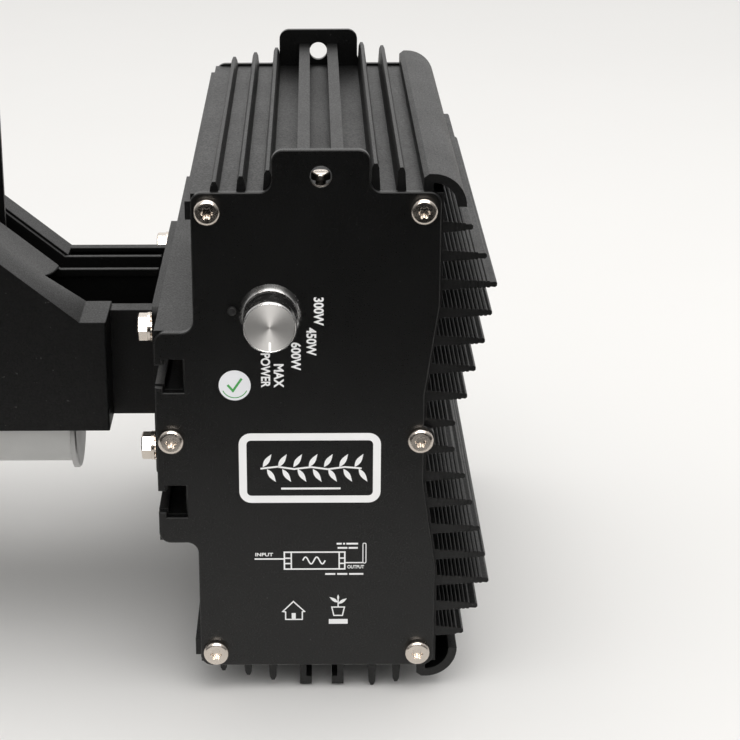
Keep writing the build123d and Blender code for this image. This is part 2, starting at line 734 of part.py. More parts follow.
def duct_strip(y0, y1, top, bottom):
    """Bent strip between two depths below the duct's top edge."""
    upper = duct_path(top)
    lower = duct_path(bottom)
    with BuildSketch(across(y0)) as section:
        Polygon(*upper, *reversed(lower), align=None)
    extrude(section.sketch, amount=-(y1 - y0))


with BuildPart() as cable_duct:
    duct_strip(DUCT_Y[0] + 1.1, DUCT_Y[0] + HEM, 0, ARM_TOP - DUCT_FLOOR)
    duct_strip(DUCT_Y[1] - HEM, DUCT_Y[1] - 1.1, 0, ARM_TOP - DUCT_FLOOR)
    duct_strip(DUCT_Y[0], DUCT_Y[0] + 1.2, 0, 3.2)
    duct_strip(DUCT_Y[1] - 1.2, DUCT_Y[1], 0, 3.2)
    duct_strip(DUCT_Y[0] + 1.1, DUCT_Y[1] - 1.1, ARM_TOP - DUCT_FLOOR - 1.5, ARM_TOP - DUCT_FLOOR)
save(cable_duct, "cable_duct")

# The duct stands on two feet that are screwed to the arm's floor.
with BuildPart() as duct_feet:
    with BuildSketch(level(ARM_BOTTOM + SHEET)):
        with Locations((-84, 131.6), (-104, 131.6)):
            Rectangle(10, 14)
    extrude(amount=DUCT_FLOOR - ARM_BOTTOM - SHEET)
save(duct_feet, "duct_feet")

with BuildPart() as lead_grommets:
    with BuildSketch(beside(PLATE_FACE - SHEET)):
        with Locations(FAR_LEAD, NEAR_LEAD):
            Circle(GROMMET_R)
            Circle(LEAD_R + 0.05, mode=Mode.SUBTRACT)
    extrude(amount=PLATE_FACE * -1 + BODY_LEFT + WALL + SHEET)
save(lead_grommets, "lead_grommets")


# --- neck cover -----------------------------------------------------------------------------------------
def cover_outline():
    """Front wall of the neck cover."""
    edge = [(COVER_RIGHT, ARM_BOTTOM), (COVER_RIGHT, COVER_TOP), (COVER_BEND, COVER_TOP)]
    edge += [(COVER_ROOF_X, ROOF_Z), (COVER_END, ROOF_Z), (COVER_END, ARM_BOTTOM)]
    Polygon(*edge, align=None)


def sheet_section(x, profile, slope_end):
    """Curved section of a 1 mm sheet at x; profile gives Y and height, slope_end how its rear edge falls."""
    bends = [(1, 0), (1, slope_end)] if len(profile) == 3 else [(1, -EDGE_FALL), (1, slope_end)]
    with BuildSketch(beside(x)) as section:
        with BuildLine() as edge:
            top = Spline(*profile, tangents=bends)
            low = Spline(*[(y, z - 1) for y, z in profile], tangents=bends)
            Line(top @ 0, low @ 0)
            Line(top @ 1, low @ 1)
        make_face(edge.edges())
    return section.sketch


def up_the_slope(section, x):
    """Runs a section at x up the slope to the hood's roof."""
    extrude(section, amount=(x - COVER_ROOF_X) / math.cos(math.atan(SLOPE)), dir=(-1, 0, SLOPE))


COVER_T = 0.8
DIP_X = -111.0          # where the roof widens towards the duct
DIP_Y = (74.5, 120.6)
EDGE_DIP = 2.2          # fall of the narrow part's rear edge
EDGE_FALL = 0.25        # its slope there
DIP = (ARM_BEND - COVER_BEND) * SLOPE + ARM_TOP - COVER_TOP     # fall across the wide part (negative)

with BuildPart() as neck_cover:
    with BuildSketch(across(COVER_Y)):
        cover_outline()
    extrude(amount=-COVER_T)
    with BuildSketch(beside(COVER_RIGHT)):
        span_rectangle(COVER_Y, ARM_Y[0] - 0.2, ARM_BOTTOM, COVER_TOP)
    extrude(amount=-COVER_T)
    with BuildSketch(beside(COVER_RIGHT)):
        span_rectangle(COVER_Y, DIP_Y[0], COVER_TOP - COVER_T, COVER_TOP)
    extrude(amount=COVER_BEND - COVER_RIGHT)
    with BuildSketch(beside(COVER_ROOF_X)):
        span_rectangle(COVER_Y, DIP_Y[0], ROOF_Z - COVER_T, ROOF_Z)
    extrude(amount=COVER_END - COVER_ROOF_X)
    dip_z = COVER_TOP + (COVER_BEND - DIP_X) * SLOPE
    flat = [(COVER_Y, COVER_TOP), (COVER_Y + 12, COVER_TOP), (DIP_Y[0], COVER_TOP)]
    rim = [(COVER_Y, dip_z), (COVER_Y + 12, dip_z), (DIP_Y[0], dip_z - EDGE_DIP)]
    rim_section = sheet_section(DIP_X, rim, -EDGE_FALL)
    loft(sections=[sheet_section(COVER_BEND, flat, -0.01).face(), rim_section.face()])
    up_the_slope(rim_section, DIP_X)
    valley = [(DIP_Y[0] - 0.5, dip_z - EDGE_DIP + 0.1), (DIP_Y[1], dip_z + DIP + 0.8)]
    up_the_slope(sheet_section(DIP_X, valley, -0.12), DIP_X)
    fillet(neck_cover.edges().filter_by(Axis.Z).group_by(Axis.Y)[0].sort_by(Axis.X)[-1], 0.8)
save(neck_cover, "neck_cover")

# --- hood -----------------------------------------------------------------------------------------------
with BuildPart() as hood_spine:
    with BuildSketch(beside(ARM_ROOF_X - 2)):
        span_rectangle(SPINE_Y[0], SPINE_Y[1], SPINE_LOW, ROOF_Z)
        inside = (SPINE_Y[0] + SHEET, SPINE_Y[1] - SHEET, SPINE_LOW - 1, ROOF_Z - SHEET)
        span_rectangle(*inside, mode=Mode.SUBTRACT)
        span_rectangle(SPINE_Y[0], SPINE_Y[0] + 16, SPINE_LOW, SPINE_LOW + SHEET)
        span_rectangle(SPINE_Y[1] - 16, SPINE_Y[1], SPINE_LOW, SPINE_LOW + SHEET)
    extrude(amount=HOOD_END + 3 - ARM_ROOF_X + 2)
    with BuildSketch(across(ARM_Y[0])):
        with Locations(*SPINE_SCREWS):
            Circle(1.7)
    extrude(amount=-(ARM_Y[1] - ARM_Y[0]), mode=Mode.SUBTRACT)
save(hood_spine, "hood_spine")

with BuildPart() as spine_screws:
    for head_y, inward in ((ARM_Y[0], 1), (ARM_Y[1], -1)):
        with BuildSketch(across(head_y)):
            with Locations(*SPINE_SCREWS):
                Circle(3.2)
        extrude(amount=inward * 1.8)
        with BuildSketch(across(head_y)):
            with Locations(*SPINE_SCREWS):
                Circle(1.65)
        extrude(amount=-inward * 6)
    chamfer(faces().sort_by(Axis.Y)[:2].edges() + faces().sort_by(Axis.Y)[-2:].edges(), 0.7)
save(spine_screws, "spine_screws")

HANGER_Y = (129.0, 132.0)
HANGER_X = (-134.5, -164.0)
HOOD_EYE = (-149.0, HANG_Z)

with BuildPart() as hood_hanger:
    with BuildSketch(across(HANGER_Y[0])):
        outline = [(HANGER_X[0], 24), (HANGER_X[0], 114), (HANGER_X[1], 114), (HANGER_X[1], 52)]
        with BuildLine():
            FilletPolyline(*outline, radius=5, close=True)
        make_face()
        with Locations(HOOD_EYE):
            Circle(HANG_HOLE_R, mode=Mode.SUBTRACT)
    extrude(amount=-(HANGER_Y[1] - HANGER_Y[0]))
save(hood_hanger, "hood_hanger")


# --- reflector ------------------------------------------------------------------------------------------
REFLECTOR_T = 0.8
REFLECTOR_TOP = SPINE_LOW - 0.2


def wing_points(inset):
    """Half section of the reflector from the ridge over the lamp to its outer lip."""
    top = REFLECTOR_TOP - inset
    return [(0, 6 - inset), (32, top), (45, top), (86, top - 34), (REFLECTOR_HALF - inset, REFLECTOR_LOW)]


def reflector_section():
    """Closed thin section of the gull-wing sheet, one wing and its mirror image."""
    upper = wing_points(0)
    lower = wing_points(REFLECTOR_T)
    for side in (1, -1):
        def at(point):
            return (LAMP_Y + side * point[0], point[1])
        with BuildLine() as outline:
            ridge = Line(at(upper[0]), at(upper[1]))
            shelf = Line(ridge @ 1, at(upper[2]))
            wing = ThreePointArc(shelf @ 1, at(upper[3]), at(upper[4]))
            lip = Line(wing @ 1, at(lower[4]))
            back = ThreePointArc(lip @ 1, at((lower[3][0] - 0.4, lower[3][1] - 0.3)), at(lower[2]))
            under = Line(back @ 1, at(lower[1]))
            valley = Line(under @ 1, at(lower[0]))
            Line(valley @ 1, ridge @ 0)
        make_face(outline.edges())


with BuildPart() as reflector:
    with BuildSketch(beside(REFLECTOR_X[0])):
        reflector_section()
    extrude(amount=REFLECTOR_X[1] - REFLECTOR_X[0])
save(reflector, "reflector")


def reflector_end(x):
    """End plate that closes the reflector, with a hole for the lamp."""
    with BuildSketch(beside(x)) as plate:
        for side in (1, -1):
            def at(point):
                return (LAMP_Y + side * point[0], point[1])
            with BuildLine():
                points = wing_points(0)
                a = Line(at((0, REFLECTOR_LOW)), at(points[0]))
                b = Line(a @ 1, at(points[1]))
                c = Line(b @ 1, at(points[2]))
                d = ThreePointArc(c @ 1, at(points[3]), at(points[4]))
                Line(d @ 1, a @ 0)
            make_face()
        with Locations((LAMP_Y, LAMP_Z)):
            Circle(GLASS_R + 5, mode=Mode.SUBTRACT)
    extrude(plate.sketch, amount=-1.0)


with BuildPart() as reflector_end_near:
    reflector_end(REFLECTOR_X[0] + 1.0)
save(reflector_end_near, "reflector_end_near")

with BuildPart() as reflector_end_far:
    reflector_end(REFLECTOR_X[1])
save(reflector_end_far, "reflector_end_far")

SCREW_XS = (-206.0, -392.0)

with BuildPart() as reflector_nuts:
    with BuildSketch(level(SPINE_LOW + SHEET)):
        with Locations(*[(x, y) for x in SCREW_XS for y in (LAMP_Y - 35, LAMP_Y + 35)]):
            RegularPolygon(4.6, 6)
    extrude(amount=3.2)
save(reflector_nuts, "reflector_nuts")


# --- lampholders and lamp -------------------------------------------------------------------------------
def rod(x0, x1, outer, inner=0.0):
    """Round bar or tube on the lamp's axis."""
    with BuildSketch(beside(x0)) as ring:
        with Locations((LAMP_Y, LAMP_Z)):
            Circle(outer)
            if inner:
                Circle(inner, mode=Mode.SUBTRACT)
    extrude(ring.sketch, amount=x1 - x0)


NEAR_HOLDER = (-106.0, -168.0)
FAR_HOLDER = (-422.0, -456.0)
HOLDER_R = 18.0
DISC_R = 21.0
LAMP_ENDS = (-121.0, -449.0)
CAP_LEN = 26.0
CAP_R = 7.5
SEAL_LEN = 16.0
GLASS_X = (LAMP_ENDS[0] - CAP_LEN - SEAL_LEN, LAMP_ENDS[1] + CAP_LEN + SEAL_LEN)

with BuildPart() as holder_near:
    rod(*NEAR_HOLDER, HOLDER_R)
    with BuildSketch(beside(NEAR_HOLDER[0] - 13)):
        with Locations((LAMP_Y, LAMP_Z)):
            Circle(CAP_R + 1.0)
    extrude(amount=NEAR_HOLDER[1] - NEAR_HOLDER[0] + 13, mode=Mode.SUBTRACT)
    with BuildSketch(beside(LAMP_ENDS[0] - CAP_LEN - 4)):
        with Locations((LAMP_Y, LAMP_Z)):
            Circle(GLASS_R + 0.8)
    extrude(amount=-40, mode=Mode.SUBTRACT)
    chamfer(faces().sort_by(Axis.X)[0].outer_wire().edges(), 0.8)
save(holder_near, "holder_near")

with BuildPart() as holder_far:
    rod(*FAR_HOLDER, HOLDER_R)
    with BuildSketch(beside(FAR_HOLDER[0])):
        with Locations((LAMP_Y, LAMP_Z)):
            Circle(CAP_R + 1.0)
    extrude(amount=LAMP_ENDS[1] - FAR_HOLDER[0] - 0.5, mode=Mode.SUBTRACT)
save(holder_far, "holder_far")

with BuildPart() as holder_disc:
    rod(NEAR_HOLDER[0] + 2.6, NEAR_HOLDER[0], DISC_R)
    chamfer(faces().sort_by(Axis.X)[-1].edges(), 0.6)
save(holder_disc, "holder_disc")

# Saddle that hangs the near holder from the arm's floor.
with BuildPart() as holder_strap:
    with BuildSketch(beside(NEAR_HOLDER[0] - 1)):
        span_rectangle(LAMP_Y - 14, LAMP_Y + 14, LAMP_Z + 8, ARM_BOTTOM)
        with Locations((LAMP_Y, LAMP_Z)):
            Circle(HOLDER_R + 0.1, mode=Mode.SUBTRACT)
    extrude(amount=-8)
save(holder_strap, "holder_strap")

with BuildPart() as holder_contacts:
    rod(LAMP_ENDS[0] + 1.9, LAMP_ENDS[0] + 0.1, 5.0)
    rod(LAMP_ENDS[1] - 0.1, LAMP_ENDS[1] - 0.5, 5.0)
save(holder_contacts, "holder_contacts")

with BuildPart() as lamp_caps:
    rod(LAMP_ENDS[0], LAMP_ENDS[0] - CAP_LEN, CAP_R)
    rod(LAMP_ENDS[1], LAMP_ENDS[1] + CAP_LEN, CAP_R)
    chamfer(faces().sort_by(Axis.X)[0].edges() + faces().sort_by(Axis.X)[-1].edges(), 1.0)
save(lamp_caps, "lamp_caps")

with BuildPart() as lamp_glass:
    rod(*GLASS_X, GLASS_R)
    fillet(faces().sort_by(Axis.X)[0].edges() + faces().sort_by(Axis.X)[-1].edges(), 9.0)
    rod(LAMP_ENDS[0] - CAP_LEN, GLASS_X[0] - 1, 5.0)
    rod(LAMP_ENDS[1] + CAP_LEN, GLASS_X[1] + 1, 5.0)
    with BuildSketch(beside(GLASS_X[0] - 14)):
        with Locations((LAMP_Y, LAMP_Z)):
            Circle(GLASS_R - 1.4)
    extrude(amount=GLASS_X[1] - GLASS_X[0] + 28, mode=Mode.SUBTRACT)
save(lamp_glass, "lamp_glass")

with BuildPart() as arc_tube:
    rod(-235.0, -345.0, 4.2)
    fillet(faces().sort_by(Axis.X)[0].edges() + faces().sort_by(Axis.X)[-1].edges(), 1.5)
    rod(GLASS_X[0] - 14.2, -236.0, 1.0)
    rod(-344.0, GLASS_X[1] + 14.2, 1.0)
save(arc_tube, "arc_tube")

with BuildPart() as end_bracket:
    with BuildSketch(beside(HOOD_END + 3)):
        with BuildLine() as border:
            corners = [(SPINE_Y[0], ROOF_Z), (SPINE_Y[1], ROOF_Z), (SPINE_Y[1], 40), (LAMP_Y + 24, -30)]
            corners += [(LAMP_Y + 24, -60), (LAMP_Y - 24, -60), (LAMP_Y - 24, -30), (SPINE_Y[0], 40)]
            FilletPolyline(*corners, radius=4, close=True)
        make_face(border.edges())
    extrude(amount=-3)
    with BuildSketch(beside(HOOD_END + 3)):
        span_rectangle(LAMP_Y - 12, LAMP_Y + 12, LAMP_Z - 12, LAMP_Z + 12)
    extrude(amount=FAR_HOLDER[1] - HOOD_END - 3)
save(end_bracket, "end_bracket")

LEAD_TOP = 72.0         # far lead inside the spine
NEAR_X, FAR_X = -138.0, -440.0


def lead(points):
    """Insulated lamp lead that follows points given from the ballast's centre line."""
    route = [(x - HANG_X, y, z - HANG_Z) for x, y, z in points]
    with BuildLine() as path:
        FilletPolyline(*route, radius=9.0)
    start = Plane(origin=path.line @ 0, z_dir=path.line % 0)
    with BuildSketch(start) as section:
        Circle(LEAD_R)
    sweep(section.sketch, path=path.line)


rise_x = ARM_BEND - 1.2 - (ARM_TOP - FAR_LEAD[1]) * math.tan(math.atan(SLOPE) / 2)
top_x = rise_x - (LEAD_TOP - FAR_LEAD[1]) / SLOPE
holder_top = LAMP_Z + 18.1

with BuildPart() as far_lead:
    y, z = FAR_LEAD
    lead([(BODY_LEFT + 16, y, z), (rise_x, y, z), (top_x, y, LEAD_TOP), (FAR_X, y, LEAD_TOP),
          (FAR_X, LAMP_Y, 30), (FAR_X, LAMP_Y, holder_top)])
save(far_lead, "far_lead")

with BuildPart() as near_lead:
    y, z = NEAR_LEAD
    lead([(BODY_LEFT + 16, y, z), (NEAR_X + 28, y, z), (NEAR_X, LAMP_Y, z + 2), (NEAR_X, LAMP_Y, holder_top)])
save(near_lead, "near_lead")
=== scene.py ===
import bpy
import bmesh
import json
import math
from mathutils import Matrix, Vector


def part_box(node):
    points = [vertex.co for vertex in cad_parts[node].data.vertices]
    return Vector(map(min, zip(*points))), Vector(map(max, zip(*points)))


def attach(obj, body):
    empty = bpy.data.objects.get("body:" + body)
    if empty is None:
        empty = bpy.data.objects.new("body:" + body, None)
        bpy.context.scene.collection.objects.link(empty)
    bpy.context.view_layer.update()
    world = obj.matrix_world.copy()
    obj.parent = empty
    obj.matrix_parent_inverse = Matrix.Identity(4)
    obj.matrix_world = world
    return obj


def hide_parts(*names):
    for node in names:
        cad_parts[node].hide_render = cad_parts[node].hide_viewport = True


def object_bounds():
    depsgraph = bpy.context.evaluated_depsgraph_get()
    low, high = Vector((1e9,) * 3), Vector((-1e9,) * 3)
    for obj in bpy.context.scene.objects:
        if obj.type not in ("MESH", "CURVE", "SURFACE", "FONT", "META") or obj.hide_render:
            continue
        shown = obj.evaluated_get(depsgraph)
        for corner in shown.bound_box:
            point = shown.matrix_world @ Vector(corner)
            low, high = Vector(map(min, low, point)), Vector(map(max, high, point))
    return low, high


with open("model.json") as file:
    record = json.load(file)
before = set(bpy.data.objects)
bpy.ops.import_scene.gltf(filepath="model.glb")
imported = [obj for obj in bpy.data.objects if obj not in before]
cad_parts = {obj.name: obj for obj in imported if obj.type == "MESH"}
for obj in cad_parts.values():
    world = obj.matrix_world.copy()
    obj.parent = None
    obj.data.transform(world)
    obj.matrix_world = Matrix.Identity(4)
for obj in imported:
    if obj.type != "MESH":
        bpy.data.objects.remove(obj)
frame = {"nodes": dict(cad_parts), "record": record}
for stray in ("Cube", "Light", "Camera"):
    if stray in bpy.data.objects:
        bpy.data.objects.remove(bpy.data.objects[stray])
cad_low, cad_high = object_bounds()
nodes = frame["nodes"]

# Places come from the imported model: the panel's face, the ballast's centre line and the knob's axis.
MM = 0.001
PANEL_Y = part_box("front_panel")[0].y
screw_low, screw_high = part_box("front_screws")
SCREW_REACH = 45.0 * MM     # from the centre line to the outer edge of the right-hand screw heads
CENTRE_X = screw_high.x - SCREW_REACH
CENTRE_Z = (screw_low.z + screw_high.z) / 2
knob_low, knob_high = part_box("dimmer_knob")
KNOB_AXIS = ((knob_low.x + knob_high.x) / 2, (knob_low.z + knob_high.z) / 2)


# --- node helpers ---------------------------------------------------------------------------------------
class Maker:
    """Builds one node material, with short calls for the nodes that the finishes share."""

    def __init__(self, name, **settings):
        self.mat = bpy.data.materials.new(name)
        self.mat.use_nodes = True
        self.tree = self.mat.node_tree
        self.shader = self.tree.nodes["Principled BSDF"]
        for key, value in settings.items():
            self.shader.inputs[key.replace("_", " ")].default_value = value

    def node(self, kind, inputs=(), **props):
        made = self.tree.nodes.new("ShaderNode" + kind)
        for key, value in props.items():
            setattr(made, key, value)
        for key, value in dict(inputs).items():
            self.feed(made.inputs[key], value)
        return made

    def feed(self, socket, value):
        if isinstance(value, bpy.types.NodeSocket):
            self.tree.links.new(value, socket)
        else:
            socket.default_value = value

    def place(self):
        """Object coordinates in metres, so that grain has a real size."""
        return self.node("TexCoord").outputs["Object"]

    def noise(self, vector, scale, detail=3.0, rough=0.6):
        made = self.node("TexNoise", {"Vector": vector, "Scale": scale, "Detail": detail, "Roughness": rough})
        return made.outputs["Fac"]

    def span(self, value, low, high, to_low, to_high):
        made = self.node("MapRange", {"Value": value, 1: low, 2: high, 3: to_low, 4: to_high})
        return made.outputs["Result"]

    def blend(self, share, dark, light):
        mix = self.node("Mix", data_type="RGBA")
        self.feed(mix.inputs["Factor"], share)
        self.feed(mix.inputs[6], dark)
        self.feed(mix.inputs[7], light)
        return mix.outputs[2]

    def bump(self, height, strength, distance, under=None):
        made = self.node("Bump", {"Height": height, "Strength": strength, "Distance": distance})
        if under is not None:
            self.feed(made.inputs["Normal"], under)
        return made.outputs["Normal"]

    def soft_edges(self, radius):
        return self.node("Bevel", {"Radius": radius}, samples=4).outputs["Normal"]

    def done(self, colour=None, rough=None, normal=None):
        for key, value in (("Base Color", colour), ("Roughness", rough), ("Normal", normal)):
            if value is not None:
                self.feed(self.shader.inputs[key], value)
        return self.mat


def grey(value, warm=0.0):
    return (value * (1 + warm), value, value * (1 - warm), 1.0)


def powder_coat(name, tone, rough, specular, grain=1500, edge=0.35 * MM):
    """Fine-textured powder coat: a tight orange-peel grain, slow tone drift, and a few dust specks."""
    m = Maker(name)
    m.shader.inputs["Specular IOR Level"].default_value = specular
    place = m.place()
    fine = m.noise(place, grain, 2.0, 0.5)
    drift = m.noise(place, 22.0, 4.0)
    dust = m.span(m.noise(place, 760.0, 1.0, 0.4), 0.765, 0.80, 0.0, 0.35)
    paint = m.blend(m.span(fine, 0.35, 0.65, 0.0, 1.0), grey(tone * 0.6), grey(tone * 1.5))
    colour = m.blend(dust, paint, grey(0.12))
    speckle = m.span(fine, 0.3, 0.7, rough + 0.10, rough - 0.10)
    slow = m.span(drift, 0.3, 0.7, -0.03, 0.04)
    sheen = m.node("Math", {0: speckle, 1: slow}, operation="ADD").outputs[0]
    normal = m.bump(fine, 0.55, 0.12 * MM, m.soft_edges(edge))
    return m.done(colour, sheen, normal)


def plain_metal(name, tone, warm, rough):
    """Plated or bare metal with slow stains and a faint grain."""
    m = Maker(name, Metallic=1.0)
    place = m.place()
    stain = m.noise(place, 260, 4.0)
    colour = m.blend(stain, grey(tone * 0.82, warm), grey(tone * 1.08, warm))
    sheen = m.span(stain, 0.3, 0.7, rough - 0.06, rough + 0.1)
    normal = m.bump(m.noise(place, 2400, 2.0), 0.15, 0.03 * MM, m.soft_edges(0.25 * MM))
    return m.done(colour, sheen, normal)


def spun_metal(name, rough, spread):
    """Turned aluminium: highlights fan out from the Y axis, over fine rings round the knob's axis."""
    m = Maker(name, Metallic=1.0, Anisotropic=spread)
    centre = (-KNOB_AXIS[0], 0.0, -KNOB_AXIS[1])
    shifted = m.node("Mapping", {"Vector": m.place(), "Location": centre, "Scale": (1, 0, 1)})
    radius = m.node("VectorMath", {0: shifted.outputs["Vector"]}, operation="LENGTH")
    across = m.node("Math", {0: radius.outputs["Value"], 1: 60.0}, operation="MULTIPLY").outputs[0]
    rings = m.node("TexNoise", {"W": across, "Scale": 90.0, "Detail": 2.0}, noise_dimensions="1D")
    turned = rings.outputs["Fac"]
    colour = m.blend(turned, grey(0.52, 0.01), grey(0.64, 0.01))
    quarter_turn = 0.25
    m.shader.inputs["Anisotropic Rotation"].default_value = quarter_turn
    tangent = m.node("Tangent", direction_type="RADIAL", axis="Y")
    m.feed(m.shader.inputs["Tangent"], tangent.outputs["Tangent"])
    sheen = m.span(turned, 0.3, 0.7, rough - 0.04, rough + 0.05)
    return m.done(colour, sheen, m.bump(turned, 0.12, 0.02 * MM))


def moulded(name, colour, rough, grain=700, strength=0.12, specular=0.5):
    """Moulded plastic, rubber, ceramic or ink, by its grain."""
    m = Maker(name)
    m.shader.inputs["Specular IOR Level"].default_value = specular
    place = m.place()
    drift = m.noise(place, 90.0, 3.0)
    dark = tuple(c * 0.88 for c in colour[:3]) + (1.0,)
    tone = m.blend(drift, dark, colour[:3] + (1.0,))
    sheen = m.span(drift, 0.3, 0.7, rough - 0.05, rough + 0.06)
    edges = m.soft_edges(0.2 * MM)
    return m.done(tone, sheen, m.bump(m.noise(place, grain, 2.0), strength, 0.05 * MM, edges))


def wound_wire(name):
    m = Maker(name, Metallic=0.7)
    place = m.place()
    wave = m.node("TexWave", {"Vector": place, "Scale": 420.0, "Distortion": 1.5}, bands_direction="DIAGONAL")
    colour = m.blend(wave.outputs["Fac"], (0.25, 0.07, 0.02, 1), (0.75, 0.33, 0.14, 1))
    return m.done(colour, 0.35, m.bump(wave.outputs["Fac"], 0.7, 0.3 * MM))


def hammered(name):
    """Bright reflector sheet with a hammered dimple pattern."""
    m = Maker(name, Metallic=1.0)
    place = m.place()
    cells = m.node("TexVoronoi", {"Vector": place, "Scale": 170.0}, feature="SMOOTH_F1")
    drift = m.noise(place, 30.0, 3.0)
    colour = m.blend(drift, grey(0.80), grey(0.90))
    sheen = m.span(drift, 0.3, 0.7, 0.16, 0.26)
    return m.done(colour, sheen, m.bump(cells.outputs["Distance"], 0.35, 1.2 * MM))


def quartz(name):
    m = Maker(name, Roughness=0.04, IOR=1.46)
    m.shader.inputs["Transmission Weight"].default_value = 1.0
    haze = m.span(m.noise(m.place(), 60.0, 3.0), 0.4, 0.8, 0.02, 0.1)
    return m.done((0.97, 0.98, 1.0, 1.0), haze)


COAT = powder_coat("powder_coat_extrusion", 0.0055, 0.42, 0.48)
PANEL = powder_coat("powder_coat_panel", 0.004, 0.34, 0.55, grain=1700)
SHEET = powder_coat("powder_coat_sheet", 0.0045, 0.42, 0.34, edge=0.8 * MM)
STEEL = plain_metal("nickel_steel", 0.80, 0.10, 0.20)
SATIN = plain_metal("satin_aluminium", 0.55, 0.0, 0.42)
GOLD = plain_metal("plated_brass", 0.6, 0.28, 0.3)
SPUN = spun_metal("spun_aluminium", 0.62, 0.6)
TURNED = plain_metal("turned_aluminium", 0.66, 0.01, 0.22)
BLACK_PLASTIC = moulded("black_plastic", (0.02, 0.02, 0.02), 0.45)
BLACK_RUBBER = moulded("black_rubber", (0.018, 0.018, 0.018), 0.65, grain=900, strength=0.25)
BOARD = moulded("board_laminate", (0.01, 0.13, 0.05), 0.38)
FERRITE = moulded("ferrite", (0.045, 0.045, 0.05), 0.6, grain=500, strength=0.3)
SLEEVE = moulded("capacitor_sleeve", (0.02, 0.035, 0.16), 0.35)
CERAMIC = moulded("glazed_ceramic", (0.78, 0.78, 0.765), 0.35)
ALUMINA = moulded("sintered_alumina", (0.85, 0.82, 0.75), 0.4)
LEAD = moulded("silicone_sleeve", (0.62, 0.60, 0.56), 0.5)
INK = moulded("white_ink", (0.95, 0.95, 0.95), 0.5, strength=0.05, specular=0.3)
GREEN_INK = moulded("green_ink", (0.08, 0.42, 0.10), 0.5, strength=0.05)
LABEL = moulded("label_film", (0.90, 0.91, 0.94), 0.35, strength=0.04)
WIRE = wound_wire("copper_winding")
MIRROR = hammered("hammered_reflector")
QUARTZ = quartz("quartz_glass")

FINISH = {
    "coated_aluminium": COAT, "coated_panel": PANEL, "coated_sheet": SHEET, "bright_steel": STEEL,
    "spun_aluminium": SPUN, "dark_plastic": BLACK_PLASTIC, "board_laminate": BOARD, "ferrite": FERRITE,
    "copper_wire": WIRE, "sleeve_plastic": SLEEVE, "brass": GOLD, "rubber_black": BLACK_RUBBER,
    "reflector_sheet": MIRROR, "ceramic": CERAMIC, "satin_metal": SATIN, "quartz": QUARTZ,
    "alumina": ALUMINA, "lead_sleeve": LEAD,
}
for part in frame["record"]["subparts"]:
    node = nodes[part["node"]]
    node.data.materials.clear()
    node.data.materials.append(FINISH[part["material_slot"]])


# --- mesh helpers ---------------------------------------------------------------------------------------
def add_piece(name, mesh, material, body):
    piece = bpy.data.objects.new(name, mesh)
    bpy.context.scene.collection.objects.link(piece)
    piece.data.materials.clear()
    piece.data.materials.append(material)
    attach(piece, body)
    return piece


def on_panel(x, z, lift):
    """A point on the front panel, from millimetres measured off the ballast's centre line."""
    return Vector((CENTRE_X + x * MM, PANEL_Y - lift * MM, CENTRE_Z + z * MM))


INK_T = 0.06


class Print:
    """Flat printed marks with the thickness of ink, gathered in one mesh."""

    def __init__(self, lift=INK_T, base=0.0):
        self.bm = bmesh.new()
        self.lift = lift
        self.base = base

    def wall(self, ring, lower):
        for i in range(len(ring)):
            j = (i + 1) % len(ring)
            self.bm.faces.new((ring[i], lower[i], lower[j], ring[j]))

    def fill(self, outline):
        """A filled convex or simple outline, counter-clockwise as seen from the front."""
        top = [self.bm.verts.new(on_panel(x, z, self.lift)) for x, z in outline]
        low = [self.bm.verts.new(on_panel(x, z, self.base)) for x, z in outline]
        self.bm.faces.new(top)
        self.wall(top, low)

    def line(self, points, width, closed=False):
        """A line of even width with mitred corners."""
        left, right = [], []
        count = len(points)
        for i, point in enumerate(points):
            here = Vector(point)
            before = Vector(points[i - 1]) if (closed or i > 0) else None
            after = Vector(points[(i + 1) % count]) if (closed or i < count - 1) else None
            d1 = (here - before).normalized() if before is not None else None
            d2 = (after - here).normalized() if after is not None else None
            d1, d2 = d1 or d2, d2 or d1
            n1, n2 = Vector((-d1.y, d1.x)), Vector((-d2.y, d2.x))
            mean = (n1 + n2).normalized()
            reach = width / 2 / max(mean.dot(n1), 0.35)
            left.append(here + mean * reach)
            right.append(here - mean * reach)
        rows = [[self.bm.verts.new(on_panel(p.x, p.y, lift)) for p in side]
                for lift in (self.lift, self.base) for side in (left, right)]
        top_l, top_r, low_l, low_r = rows
        for i in range(count if closed else count - 1):
            j = (i + 1) % count
            self.bm.faces.new((top_l[i], top_r[i], top_r[j], top_l[j]))
            self.bm.faces.new((top_l[i], top_l[j], low_l[j], low_l[i]))
            self.bm.faces.new((top_r[j], top_r[i], low_r[i], low_r[j]))
        if not closed:
            self.bm.faces.new((top_r[0], top_l[0], low_l[0], low_r[0]))
            self.bm.faces.new((top_l[-1], top_r[-1], low_r[-1], low_l[-1]))

    def box(self, x0, x1, z0, z1):
        self.fill([(x0, z0), (x1, z0), (x1, z1), (x0, z1)])

    def finish(self, name, material=INK):
        bmesh.ops.recalc_face_normals(self.bm, faces=self.bm.faces)
        mesh = bpy.data.meshes.new(name)
        self.bm.to_mesh(mesh)
        self.bm.free()
        return add_piece(name, mesh, material, "ballast")


def arc(cx, cz, radius, start, end, steps):
    turn = [math.radians(start + (end - start) * i / steps) for i in range(steps + 1)]
    return [(cx + radius * math.cos(a), cz + radius * math.sin(a)) for a in turn]


def rounded(x0, x1, z0, z1, radius):
    """Outline of a rectangle with round corners."""
    out = []
    for cx, cz, start in ((x1 - radius, z1 - radius, 0), (x0 + radius, z1 - radius, 90),
                          (x0 + radius, z0 + radius, 180), (x1 - radius, z0 + radius, 270)):
        out += arc(cx, cz, radius, start, start + 90, 6)
    return out


